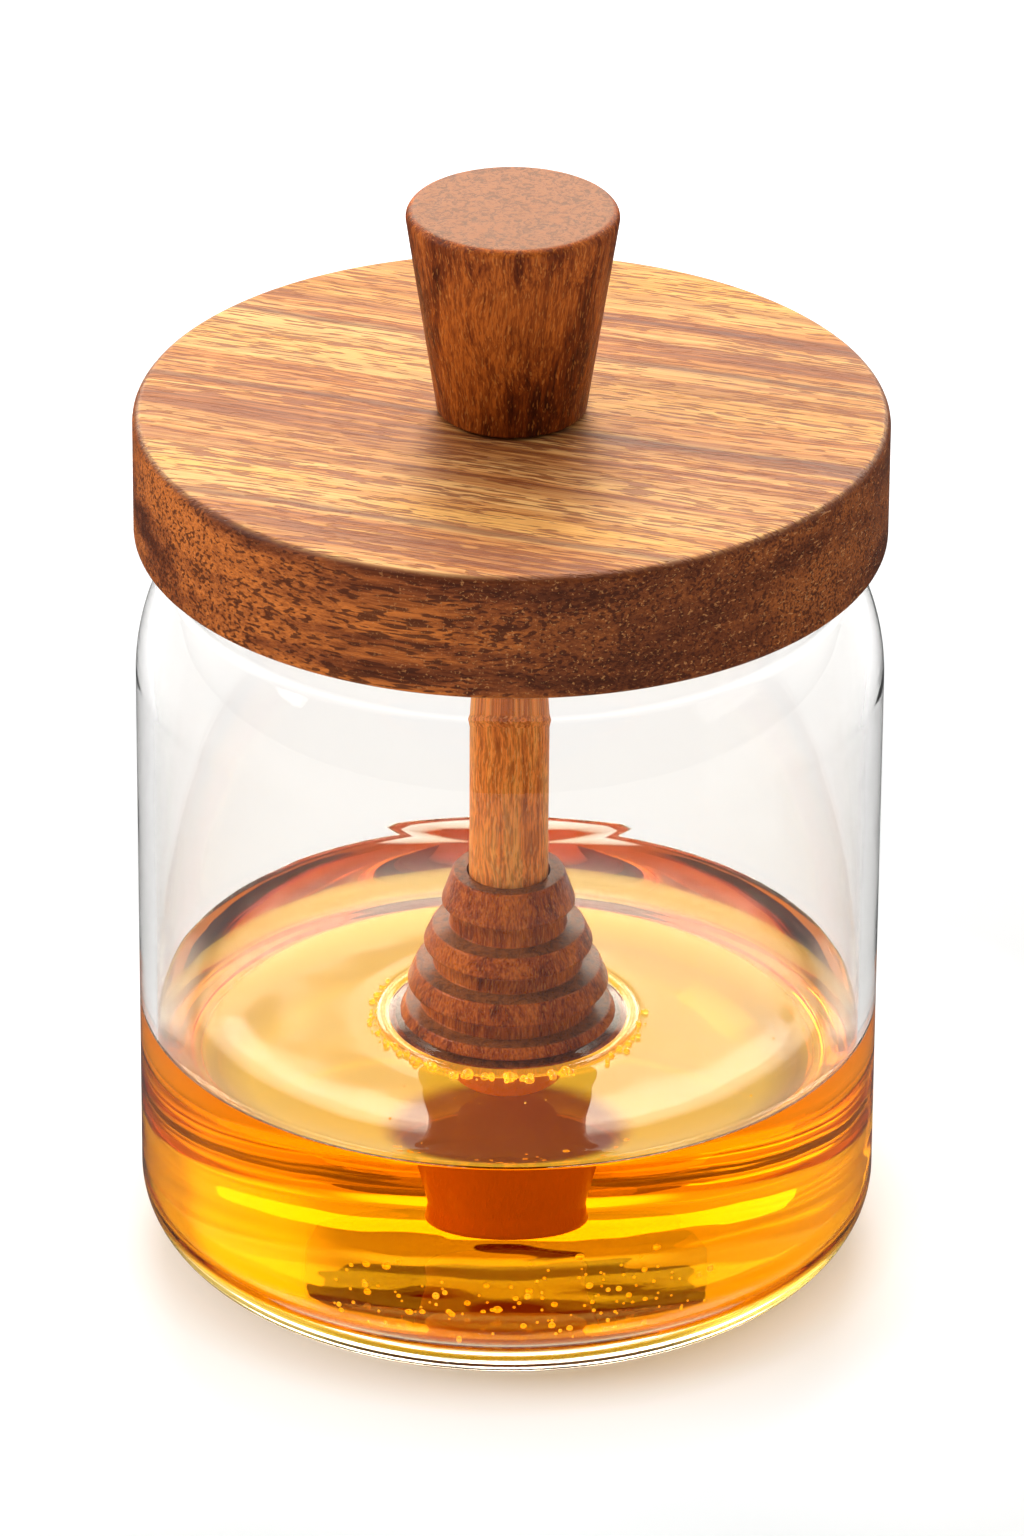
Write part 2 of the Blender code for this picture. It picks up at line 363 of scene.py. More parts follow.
def lid_wood_finish():
    """Oiled streaky board: tan and gold, dark lines along the grain, fine pores, and sides that are darker
    partly by their end grain and partly by painted shade.
    """
    finish = Finish("streaked_lid_wood")
    along, across, up = finish.parts(finish.millimetres(GRAIN_ANGLE))
    wander = finish.noise(finish.point(along * 0.016, across * 0.03, up * 0.03), detail=2.0) - 0.5
    ripple = finish.noise(finish.point(along * 0.07, across * 0.16, up * 0.16), detail=3.0) - 0.5
    bent = across + wander * 4.0 + ripple * 1.2

    bands = finish.noise(finish.point(along * 0.005, bent * 0.14, up * 0.10), detail=3.0, roughness=0.55)
    streaks = finish.noise(finish.point(along * 0.014, bent * 0.90, up * 0.7), detail=4.0, roughness=0.70)
    fibres = finish.noise(finish.point(along * 0.09, bent * 3.2, up * 3.0), detail=3.0, roughness=0.7)
    pore_rows = finish.noise(finish.point(along * 0.02, bent * 0.35, up * 0.3), detail=2.0)
    pore_noise = finish.noise(finish.point(along * 0.26, bent * 2.7, up * 2.3), detail=1.0, roughness=0.4)
    pores = finish.step(pore_noise + (pore_rows - 0.5) * 0.40, 0.54, 0.61)

    color = finish.ramp(bands * 0.45 + streaks * 0.55, [
        (0.40, (0.180, 0.048, 0.011)),
        (0.46, (0.400, 0.142, 0.034)),
        (0.51, (0.580, 0.265, 0.080)),
        (0.57, (0.740, 0.420, 0.150)),
    ])
    broken = finish.noise(finish.point(along * 0.012, bent * 0.2, up * 0.1), detail=2.0)
    dark = band_sum(finish, along, bent, LID_STREAKS) * finish.step(broken, 0.32, 0.60, 0.75, 1.15)
    gold = band_sum(finish, along, bent, LID_GOLD) * finish.step(broken, 0.35, 0.60, 0.60, 1.0)
    color = finish.mix(gold.least(1.0) * 0.8, color, (0.820, 0.420, 0.095))
    dark = (dark * finish.step(streaks, 0.62, 0.40, 0.85, 1.0)).least(1.0)
    color = finish.mix(dark * 0.92, color, (0.095, 0.026, 0.015))
    color = finish.mix(finish.step(fibres, 0.60, 0.38) * 0.45, color, (0.58, 0.36, 0.24), "MULTIPLY")
    color = finish.mix(pores * 0.85, color, (0.170, 0.042, 0.010))

    upward = finish.parts(finish.node("ShaderNodeNewGeometry", output="Normal"))[2]
    side = finish.step(upward, 0.93, 0.55)
    # Painted shade on the rounded rims between the top and the sides
    rim_shade = finish.step(upward, 0.97, 0.85) * finish.step(upward, 0.30, 0.70)
    rings = finish.noise(finish.point(along * 0.012, bent * 0.05, up * 0.16), detail=3.0, roughness=0.6)
    side_grain_and_shade = finish.ramp(rings * 0.7 + streaks * 0.3, [
        (0.38, (0.110, 0.022, 0.004)),
        (0.47, (0.270, 0.062, 0.010)),
        (0.58, (0.560, 0.150, 0.020)),
    ])
    # The sides are darker still towards one end along the grain
    side_grain_and_shade = finish.mix(finish.step(along, 2.0, 30.0, 0.0, 0.55), side_grain_and_shade, (0.130, 0.032, 0.007))
    side_fibres = finish.step(fibres, 0.60, 0.38) * 0.6
    side_grain_and_shade = finish.mix(side_fibres, side_grain_and_shade, (0.34, 0.24, 0.18), "MULTIPLY")
    side_grain_and_shade = finish.mix(pores * 0.8, side_grain_and_shade, (0.060, 0.012, 0.003))
    end_fibres = finish.noise(finish.point(along * 0.8, across * 2.6, up * 2.6), detail=3.0, roughness=0.7)
    scratch_place = finish.point(along * 2.4, across * 0.7, up * 2.9)
    scratch_noise = finish.noise(scratch_place, detail=2.0, roughness=0.6)
    scratches = finish.step(scratch_noise, 0.60, 0.68) * finish.step(along, -10.0, 12.0, 0.25, 1.0)
    side_grain_and_shade = finish.mix(scratches * 0.55, side_grain_and_shade, (0.62, 0.26, 0.080))
    # The sides are darker than the top, partly by their end grain and partly by painted shade
    color = finish.mix(side, color, side_grain_and_shade)
    color = finish.mix(rim_shade * 0.65, color, (0.110, 0.026, 0.006))

    top_height = fibres * 0.5 + streaks * 0.2 - pores * 0.9
    height = top_height * (1 - side) + (end_fibres + scratches * 0.5) * side
    return finish.surface(
        Base_Color=color,
        Roughness=finish.step(fibres, 0.3, 0.8, 0.38, 0.55),
        IOR=WOOD_IOR,
        Specular_IOR_Level=0.17,
        Normal=finish.bump(height, 0.13, 0.9),
    )


def turned_wood_finish(name, palette, fleck_color, end_color, grain=1.0, wet=0.0, roughness=0.45,
                       shine=0.3, sunk_painted_color=None):
    """Wood turned with its grain upright: streaks and short flecks run up it, and its upward faces take a
    grainy end color.

    sunk_painted_color is the wood's color deep in the honey: painted lighter, with a painted glow, as if lit
    through the honey.
    """
    finish = Finish(name)
    x, y, up = finish.parts(finish.millimetres())
    sway = (finish.noise(finish.point(x * 0.12, y * 0.12, up * 0.06), detail=2.0) - 0.5) * 3.0
    side_x, side_y = x + sway, y - sway
    bands = finish.noise(finish.point(side_x * 0.22 * grain, side_y * 0.22 * grain, up * 0.03), detail=2.0)
    streaks = finish.noise(finish.point(side_x * 1.1 * grain, side_y * 1.1 * grain, up * 0.08),
                           detail=4.0, roughness=0.68)
    fibres = finish.noise(finish.point(side_x * 3.6, side_y * 3.6, up * 0.42), detail=2.0, roughness=0.65)
    fleck_place = finish.point(side_x * 4.2, side_y * 4.2, up * 0.8)
    fleck_noise = finish.noise(fleck_place, detail=1.0, roughness=0.4)
    flecks = finish.step(fleck_noise, 0.60, 0.70)
    color = finish.ramp(bands * 0.5 + streaks * 0.5, list(zip((0.38, 0.48, 0.58), palette)))
    color = finish.mix(finish.step(fibres, 0.60, 0.38) * 0.65, color, (0.36, 0.26, 0.20), "MULTIPLY")
    color = finish.mix(flecks * 0.45, color, fleck_color)

    upward = finish.parts(finish.node("ShaderNodeNewGeometry", output="Normal"))[2]
    end = finish.step(upward, 0.90, 0.99)
    grit = finish.noise(finish.point(x * 1.1, y * 1.1, up), detail=5.0, roughness=0.80, distortion=0.8)
    end_shade = finish.ramp(grit, [(0.44, tuple(part * 0.45 for part in end_color)), (0.53, end_color)])
    color = finish.mix(end, color, end_shade)
    sunk_painted_glow = (0.0, 0.0, 0.0, 1.0)
    # Painted light: below the honey the wood is painted lighter and given a painted glow
    if sunk_painted_color:
        color = finish.mix(finish.step(up, *SUNK_LIGHT_HEIGHTS) * 0.85, color, sunk_painted_color)
        sunk_painted_glow = finish.mix(finish.step(up, *SUNK_LIGHT_HEIGHTS), (0.0, 0.0, 0.0), SUNK_PAINTED_GLOW)
    height = (fibres * 0.6 + flecks * 0.3) * (1 - end) + grit * 0.8 * end
    return finish.surface(
        Base_Color=color,
        Roughness=finish.step(grit, 0.3, 0.7, roughness - 0.07, roughness + 0.08),
        IOR=WOOD_IOR,
        Specular_IOR_Level=shine,
        Coat_Weight=wet,
        Coat_Roughness=0.08,
        Coat_IOR=1.35,
        Emission_Color=sunk_painted_glow,
        Emission_Strength=1.0,
        Normal=finish.bump(height, 0.14, 0.8),
    )


def glass_finish(name, mirror):
    """Clear glass, a little wavy as blown glass is. mirror is how much it shines face on."""
    finish = Finish(name)
    wave = finish.noise(finish.millimetres(), detail=1.0, scale=0.06)
    return finish.surface(
        lamp_color=GLASS_SHADE,
        Base_Color=GLASS_COLOR,
        Roughness=0.0,
        IOR=GLASS_IOR,
        Specular_Tint=(mirror, mirror, mirror, 1.0),
        Transmission_Weight=1.0,
        Normal=finish.bump(wave, 0.10, 0.3),
    )


def honey_finish():
    """Clear amber honey: its colour comes from the depth that the light crosses."""
    finish = Finish("amber_honey")
    wave = finish.noise(finish.millimetres(), detail=1.0, scale=0.08)
    material = finish.surface(
        lamp_color=HONEY_SHADE,
        Base_Color=(1.0, 1.0, 1.0, 1.0),
        Roughness=0.0,
        IOR=HONEY_IOR,
        Specular_Tint=(0.0, 0.0, 0.0, 1.0),
        Transmission_Weight=1.0,
        Normal=finish.bump(wave, 0.15, 0.3),
    )
    depth = finish.shader("ShaderNodeVolumeAbsorption", Color=HONEY_TINT, Density=HONEY_DENSITY)
    feed(finish.out.inputs["Volume"], depth)
    return material


def bubble_finish(name, glow):
    """Gold beads of air and honey, with a painted glow that stands for the light they catch."""
    finish = Finish(name)
    cloud = finish.noise(finish.millimetres(), detail=1.0, scale=0.9)
    color = finish.ramp(cloud, [(0.35, (1.0, 0.58, 0.08)), (0.65, (1.0, 0.80, 0.25))])
    wave = finish.noise(finish.millimetres(), detail=1.0, scale=2.0)
    return finish.surface(
        Base_Color=color,
        Roughness=0.02,
        IOR=1.42,
        Transmission_Weight=1.0,
        Emission_Color=(1.0, 0.50, 0.03, 1.0),
        Emission_Strength=glow,
        Normal=finish.bump(wave, 0.02, 0.5),
    )


def arc(center, radii, start, end, steps):
    """Points of a round in a profile: center and radii are (across, up), angles are degrees."""
    points = []
    for step in range(steps + 1):
        angle = math.radians(start + (end - start) * step / steps)
        points.append((center[0] + radii[0] * math.cos(angle), center[1] + radii[1] * math.sin(angle)))
    return points


def round_arc(center, radius, start, end, steps):
    return arc(center, (radius, radius), start, end, steps)


def straight(start, end, steps):
    """Points between two ends, without the ends themselves."""
    return [(start[0] + (end[0] - start[0]) * step / steps, start[1] + (end[1] - start[1]) * step / steps)
            for step in range(1, steps)]


def rounded(corners, steps=6):
    """A profile through corners (across, up, radius), where each corner with a radius becomes a round."""
    points = []
    for index, (across, up, radius) in enumerate(corners):
        here = Vector((across, up))
        if not radius:
            points.append((across, up))
            continue
        before = (Vector(corners[index - 1][:2]) - here).normalized()
        after = (Vector(corners[index + 1][:2]) - here).normalized()
        half = before.angle(after) / 2
        center = here + (before + after).normalized() * (radius / math.sin(half))
        first = here + before * (radius / math.tan(half)) - center
        last = here + after * (radius / math.tan(half)) - center
        turn = first.angle_signed(last)
        start = math.atan2(first.y, first.x)
        for step in range(steps + 1):
            angle = start - turn * step / steps
            points.append((center.x + radius * math.cos(angle), center.y + radius * math.sin(angle)))
    return points


def turned(name, profile, sides, material, hole=False):
    """A piece spun once round the upright axis. A piece with a hole has its profile closed first."""
    bm = bmesh.new()
    corners = [bm.verts.new((across * MILLIMETRE, 0.0, up * MILLIMETRE)) for across, up in profile]
    lines = [bm.edges.new(pair) for pair in zip(corners, corners[1:])]
    if hole:
        lines.append(bm.edges.new((corners[-1], corners[0])))
    bmesh.ops.spin(bm, geom=corners + lines, cent=(0, 0, 0), axis=(0, 0, 1),
                   angle=math.tau, steps=sides, use_merge=True)
    bmesh.ops.remove_doubles(bm, verts=bm.verts, dist=0.002 * MILLIMETRE)
    bmesh.ops.recalc_face_normals(bm, faces=bm.faces)
    mesh = bpy.data.meshes.new(name)
    bm.to_mesh(mesh)
    bm.free()
    mesh.shade_smooth()
    mesh.set_sharp_from_angle(angle=CREASE_ANGLE)
    mesh.materials.append(material)
    piece = bpy.data.objects.new(name, mesh)
    bpy.context.scene.collection.objects.link(piece)
    return piece


def wet_inside(glass, wet_glass):
    """Gives the jar's inner faces below the honey's edge glass that doesn't shine."""
    glass.data.materials.append(wet_glass)
    for face in glass.data.polygons:
        middle = face.center / MILLIMETRE
        inward = face.normal.x * middle.x + face.normal.y * middle.y < 0
        on_floor = face.normal.z > 0.99 and middle.z > 0.5 * FLOOR_THICKNESS
        if middle.z < HONEY_EDGE - 0.5 and (inward or on_floor):
            face.material_index = 1


def dress(piece, node=None):
    """A finished piece rides on the jar and stands for its CAD node."""
    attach(piece, BODY)
    if node:
        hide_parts(node)


def jar_profile():
    """The jar's outside from the axis to the rim, and its inside back down to the axis."""
    inner_round = HEEL_ROUND - GLASS_WALL
    heel_center = (JAR_RADIUS - HEEL_ROUND, HEEL_ROUND)
    floor_center = (JAR_RADIUS - HEEL_ROUND, FLOOR_THICKNESS + inner_round)
    shoulder_center = (JAR_RADIUS - SHOULDER_ROUND, SHOULDER_START)
    reach = SHOULDER_ROUND + NECK_ROUND
    turn = math.degrees(math.acos((NECK_RADIUS + NECK_ROUND - shoulder_center[0]) / reach))
    neck_center = (NECK_RADIUS + NECK_ROUND, SHOULDER_START + reach * math.sin(math.radians(turn)))
    lip = GLASS_WALL / 2
    lip_center = (NECK_RADIUS - lip, RIM_HEIGHT - lip)

    outside = [(0.0, 0.0)] + straight((0.0, 0.0), (heel_center[0], 0.0), 4)
    outside += round_arc(heel_center, HEEL_ROUND, -90, 0, 24)
    outside += straight((JAR_RADIUS, HEEL_ROUND), (JAR_RADIUS, SHOULDER_START), 8)
    outside += round_arc(shoulder_center, SHOULDER_ROUND, 0, turn, 18)
    outside += round_arc(neck_center, NECK_ROUND, 180 + turn, 180, 8)[1:]
    inside = round_arc(lip_center, lip, 0, 180, 12)
    inside += round_arc(neck_center, NECK_ROUND + GLASS_WALL, 180, 180 + turn, 8)
    inside += round_arc(shoulder_center, SHOULDER_ROUND - GLASS_WALL, turn, 0, 18)[1:]
    inside += straight((INNER_RADIUS, SHOULDER_START), (INNER_RADIUS, HONEY_EDGE), 6)
    inside.append((INNER_RADIUS, HONEY_EDGE))
    inside += straight((INNER_RADIUS, HONEY_EDGE), (INNER_RADIUS, floor_center[1]), 3)
    inside += round_arc(floor_center, inner_round, 0, -90, 20)
    inside += straight((floor_center[0], FLOOR_THICKNESS), (0.0, FLOOR_THICKNESS), 4)
    inside.append((0.0, FLOOR_THICKNESS))
    return outside + inside


def honey_height(across):
    """Height of the honey's surface: flat, with a soft climb at the dipper and at the glass."""
    away = INNER_RADIUS - across
    at_glass = (HONEY_EDGE - HONEY_LEVEL) * math.exp(-away / GLASS_CLIMB_WIDTH)
    at_dipper = DIPPER_CLIMB * math.exp(-(across - DIPPER_TOUCH) / DIPPER_CLIMB_WIDTH)
    return HONEY_LEVEL + at_glass + at_dipper


def honey_profile():
    """Solid honey that reaches into the glass. It climbs the glass and the dipper a little."""
    inner_round = HEEL_ROUND - GLASS_WALL + HONEY_INTO_GLASS
    side = INNER_RADIUS + HONEY_INTO_GLASS
    floor = FLOOR_THICKNESS - HONEY_INTO_GLASS
    floor_center = (JAR_RADIUS - HEEL_ROUND, floor + inner_round)
    edges = [DIPPER_TOUCH + (INNER_RADIUS - DIPPER_TOUCH) * (step / 60) for step in range(61)]
    profile = [(0.0, honey_height(DIPPER_TOUCH))]
    profile += [(across, honey_height(across)) for across in edges]
    profile.append((side, HONEY_EDGE))
    profile += straight((side, HONEY_EDGE), (side, floor_center[1]), 6)
    profile += round_arc(floor_center, inner_round, 0, -90, 20)
    profile += straight((floor_center[0], floor), (0.0, floor), 4)
    profile.append((0.0, floor))
    return profile


def collar_profile():
    """The rounded rim of honey between the dipper and the beads."""
    return arc((COLLAR_RADIUS, HONEY_LEVEL + COLLAR_LIFT), (COLLAR_WIDTH, COLLAR_HEIGHT), 0, 345, 23)


def lid_profile():
    hole = ROD_RADIUS + ROD_GAP
    return rounded([
        (hole, LID_STEP_FOOT, 0.0),
        (LID_STEP_RADIUS, LID_STEP_FOOT, 0.4),
        (LID_STEP_RADIUS, LID_FOOT, 0.0),
        (LID_RADIUS, LID_FOOT, LID_FOOT_ROUND),
        (LID_RADIUS, LID_TOP, LID_TOP_ROUND),
        (hole, LID_TOP, 0.0),
    ])


def knob_profile():
    socket_roof = ROD_TOP + ROD_GAP
    socket = ROD_RADIUS + ROD_GAP
    return rounded([
        (0.0, socket_roof, 0.0),
        (socket, socket_roof, 0.0),
        (socket, KNOB_FOOT, 0.0),
        (KNOB_FOOT_RADIUS, KNOB_FOOT, KNOB_FOOT_ROUND),
        (KNOB_RADIUS + KNOB_FLARE, KNOB_TOP, KNOB_TOP_ROUND),
        (0.0, KNOB_TOP, 0.0),
    ], steps=8)


def rod_profile():
    foot, top = (ROD_RADIUS, ROD_FOOT), (ROD_RADIUS, ROD_TOP)
    return [(0.0, ROD_FOOT), foot] + straight(foot, top, 6) + [top, (0.0, ROD_TOP)]


def head_profile():
    """The head from its foot up: a tapered tail, rings and grooves in turn, then the rod's socket."""
    corners = [(0.0, HEAD_FOOT, 0.0), (TAIL_FOOT_RADIUS, HEAD_FOOT, 1.0), (*TAIL_WAIST, 3.0)]
    groove = TAIL_TOP_RADIUS
    rings = list(reversed(HEAD_RINGS))
    for index, (low, low_radius, high, high_radius) in enumerate(rings):
        corners += [(groove, low, 0.35), (low_radius, low, 0.4), (high_radius, high, 0.45)]
        if index + 1 < len(rings):
            groove = min(rings[index + 1][1], high_radius) * GROOVE_SHARE
            corners.append((groove, high + GROOVE_SLOPE, 0.2))
    socket = ROD_RADIUS + ROD_GAP
    socket_foot = HEAD_TOP - SOCKET_DEPTH
    corners += [(socket, HEAD_TOP, 0.0), (socket, socket_foot, 0.0), (0.0, socket_foot, 0.0)]
    return rounded(corners, steps=5)


class Scatter:
    """A Geometry Nodes tree that strews small balls along an arc round the jar's axis."""

    SIZES = ("Count", "Nearest", "Farthest", "Lowest", "Highest", "Turn", "Half Arc",
             "Smallest", "Largest", "Seed")
    WHOLE = ("Count", "Seed")

    def __init__(self, name, material):
        self.tree = bpy.data.node_groups.new(name, "GeometryNodeTree")
        for size in self.SIZES:
            kind = "NodeSocketInt" if size in self.WHOLE else "NodeSocketFloat"
            self.tree.interface.new_socket(size, in_out="INPUT", socket_type=kind)
        self.tree.interface.new_socket("Geometry", in_out="OUTPUT", socket_type="NodeSocketGeometry")
        given = self.tree.nodes.new("NodeGroupInput")
        self.given = {size: Field(given.outputs[size]) for size in self.SIZES}
        turn = self.given["Turn"] + self.spread(-1.0, 1.0, 1) * self.given["Half Arc"]
        turn = turn * (math.pi / 180)
        reach = self.spread(self.given["Nearest"], self.given["Farthest"], 2)
        height = self.spread(0.0, 1.0, 3) ** LOW_POWER * (self.given["Highest"] - self.given["Lowest"])
        place = self.node("ShaderNodeCombineXYZ", {
            "X": self.wave("SINE", turn) * reach * MILLIMETRE,
            "Y": self.wave("COSINE", turn) * reach * -MILLIMETRE,
            "Z": (height + self.given["Lowest"]) * MILLIMETRE,
        })
        small = self.spread(0.0, 1.0, 4) ** SMALL_POWER
        size = self.given["Smallest"] + small * (self.given["Largest"] - self.given["Smallest"])
        points = self.node("GeometryNodePoints", {"Count": self.given["Count"], "Position": place})
        ball = self.node("GeometryNodeMeshIcoSphere", {"Radius": 1.0, "Subdivisions": 2})
        balls = self.node("GeometryNodeInstanceOnPoints",
                          {"Points": points, "Instance": ball, "Scale": size * MILLIMETRE})
        real = self.node("GeometryNodeRealizeInstances", {"Geometry": balls})
        smooth = self.node("GeometryNodeSetShadeSmooth", {"Geometry": real})
        dressed = self.node("GeometryNodeSetMaterial", {"Geometry": smooth, "Material": material})
        out = self.tree.nodes.new("NodeGroupOutput")
        feed(out.inputs["Geometry"], dressed)

    def node(self, kind, inputs):
        new = self.tree.nodes.new(kind)
        for name, value in inputs.items():
            feed(new.inputs[name], value)
        return Field(new.outputs[0])

    def wave(self, operation, angle):
        return angle.math(operation, angle, 0.0)

    def spread(self, low, high, salt):
        """A random number for each ball. salt keeps two of them apart."""
        new = self.tree.nodes.new("FunctionNodeRandomValue")
        new.data_type = "FLOAT"
        sockets = {socket.name: socket for socket in new.inputs if socket.enabled}
        feed(sockets["Min"], low)
        feed(sockets["Max"], high)
        feed(sockets["Seed"], self.given["Seed"] * 10 + salt)
        return Field([socket for socket in new.outputs if socket.enabled][0])

    def strew(self, name, values):
        """Makes a plain mesh of balls with the given sizes."""
        holder = bpy.data.objects.new(name, bpy.data.meshes.new(name))
        bpy.context.scene.collection.objects.link(holder)
        modifier = holder.modifiers.new("scatter", "NODES")
        modifier.node_group = self.tree
        sockets = {item.name: item.identifier for item in self.tree.interface.items_tree}
        for size, value in zip(self.SIZES, values):
            modifier[sockets[size]] = value
        seen = holder.evaluated_get(bpy.context.evaluated_depsgraph_get())
        mesh = bpy.data.meshes.new_from_object(seen)
        bpy.data.objects.remove(holder)
        material = mesh.materials[-1]
        mesh.materials.clear()
        mesh.materials.append(material)
        piece = bpy.data.objects.new(name, mesh)
        bpy.context.scene.collection.objects.link(piece)
        return piece


def settle_on_honey(piece):
    """Lifts balls that were strewn above 0 onto the honey's surface."""
    for corner in piece.data.vertices:
        across = math.hypot(corner.co.x, corner.co.y) / MILLIMETRE
        corner.co.z += honey_height(across) * MILLIMETRE


# Camera: fitted to the lid's rims, the jar's sides and the heel
CAMERA_DISTANCE = 1.255
CAMERA_ELEVATION = math.radians(27.62)
CAMERA_ROLL = math.radians(0.378)
CAMERA_TARGET = Vector((0.00034, 0.0, 0.065))
LENS = 230.4
SENSOR = 36.0

# Brightness of the room behind the jar and behind the camera, and as the glass and honey show it
ROOM_BACK = 0.75
ROOM_FRONT = 0.25
SEEN_FRONT = 0.03
SEEN_BACK = 1.0
SEEN_LOW = 0.1
SEEN_THROUGH_HONEY = 1.5
# How far back, or up, a direction points where the first of two levels ends and the second is full
ROOM_TURN = (-0.75, 0.35)
SEEN_TURN = (-0.2, 0.5)
SEEN_RISE = (-0.05, 0.15)
# Lamps: azimuth, elevation, distance and size in metres, radiance
LEFT_LAMP = (-95.0, 38.0, 1.0, (0.5, 0.6), 6.0)
RIGHT_LAMP = (105.0, 35.0, 1.0, (0.4, 0.6), 1.3)
BACK_LAMP = (0.0, 47.0, 1.1, (0.34, 0.26), 30.0)
LAMP_TARGET = Vector((0.0, 0.0, 0.06))
# Glows on the far wall: azimuth, elevation, angle where it is full, angle where it ends, brightness
BACK_GLOW = (0.0, 30.0, 4.0, 8.0, 5.2)
GLOW_GAP = (-1.3, 28.9, 0.3, 1.0, -3.3)
FAR_GLOW = (0.3, 27.2, 0.9, 1.8, 3.5)
MIDDLE_GLOW = (0.0, 44.0, 8.0, 14.0, 8.0)
TOP_GLOW = (0.0, 74.0, 22.0, 34.0, 16.0)
LEFT_GLOW = (-24.0, 22.0, 10.0, 17.0, 9.0)
RIGHT_GLOW = (24.0, 22.0, 10.0, 17.0, 9.0)
# Those that the honey's top mirrors
ROOM_GLOWS = (BACK_GLOW, GLOW_GAP, FAR_GLOW, MIDDLE_GLOW, TOP_GLOW, LEFT_GLOW, RIGHT_GLOW)
# Those that show through the honey
SIDE_GLOW = (38.0, 30.0, 6.0, 16.0, 1.3)
HIGH_GLOW = (0.0, 52.0, 14.0, 22.0, 3.0)
GLOW_COLOR = (1.0, 0.94, 0.78, 1.0)
# Surfaces that light has passed: not through the honey yet at the first count, and surely at the second
HONEY_CROSSINGS = (5.0, 6.0)
# Cards on a drum round the jar: height of the middle, half height, half width in degrees, how much
# higher the ends are, squareness, color, brightness
CARD_DISTANCE = 200.0
CARD_CORNERS = 72
# The dark card puts a painted dark patch into what the honey shows, and the bright card a painted bright line
DARK_CARD = (116.5, 11.5, 18.5, 8.0, 4.0, (1.0, 0.0, 0.0), 0.17)
BRIGHT_CARD = (93.0, 7.0, 32.0, 4.0, 4.0, (1.0, 1.0, 0.8), 6.0)
# The table's painted light from under the jar outwards, bright under the honey, with a painted shadow ring
# round the foot: distance from the axis as a share of 300 mm, color
TABLE_GLOW_REACH = 300.0
TABLE_GLOW = [
    (0.000, (0.80, 0.80, 0.78)),
    (0.117, (0.80, 0.80, 0.78)),
    (0.140, (0.40, 0.31, 0.23)),
    (0.157, (0.52, 0.42, 0.33)),
    (0.177, (0.66, 0.59, 0.53)),
    (0.220, (0.60, 0.62, 0.62)),
    (0.333, (0.31, 0.31, 0.30)),
    (0.500, (0.29, 0.29, 0.29)),
    (1.000, (0.80, 0.80, 0.80)),
]
# The dipper's shade on the table: distance in front of the axis, radii where it is full and gone
DIPPER_SHADE = (12.0, 13.5, 18.0)
SHADE_COLOR = (0.12, 0.0, 0.0)
# Glow of the table in front of the jar: how much, and where it starts and is full
FRONT_GLOW = (0.50, 50.0, 160.0)
FLOOR_RADIUS = 6.0
# The floor lies a hair below the foot, so that the glass keeps its own underside
FLOOR_DROP = 0.00005


def aim(location, target, roll=0.0):
    """World matrix of something at location that looks at target along its own -Z."""
    look = (target - location).to_track_quat("-Z", "Y").to_matrix().to_4x4()
    return Matrix.Translation(location) @ look @ Matrix.Rotation(roll, 4, "Z")


def place_camera():
    data = bpy.data.cameras.new("camera")
    data.lens = LENS
    data.sensor_width = SENSOR
    data.sensor_fit = "AUTO"
    data.clip_start = 0.01
    camera = bpy.data.objects.new("camera", data)
    away = Vector((0.0, -math.cos(CAMERA_ELEVATION), math.sin(CAMERA_ELEVATION)))
    camera.matrix_world = aim(CAMERA_TARGET + away * CAMERA_DISTANCE, CAMERA_TARGET, CAMERA_ROLL)
    bpy.context.scene.collection.objects.link(camera)
    bpy.context.scene.camera = camera


def toward(azimuth, elevation):
    """Direction from the jar, in degrees. Azimuth 0 is behind the jar, and 90 is on its right."""
    turn, lift = math.radians(azimuth), math.radians(elevation)
    return Vector((math.sin(turn) * math.cos(lift), math.cos(turn) * math.cos(lift), math.sin(lift)))


def softbox(name, azimuth, elevation, distance, size, radiance):
    """A rectangular lamp that faces the jar."""
    data = bpy.data.lights.new(name, "AREA")
    data.shape = "RECTANGLE"
    data.size, data.size_y = size
    data.energy = radiance * math.pi * size[0] * size[1]
    light = bpy.data.objects.new(name, data)
    light.matrix_world = aim(LAMP_TARGET + toward(azimuth, elevation) * distance, LAMP_TARGET)
    light.visible_camera = False
    bpy.context.scene.collection.objects.link(light)
    return light


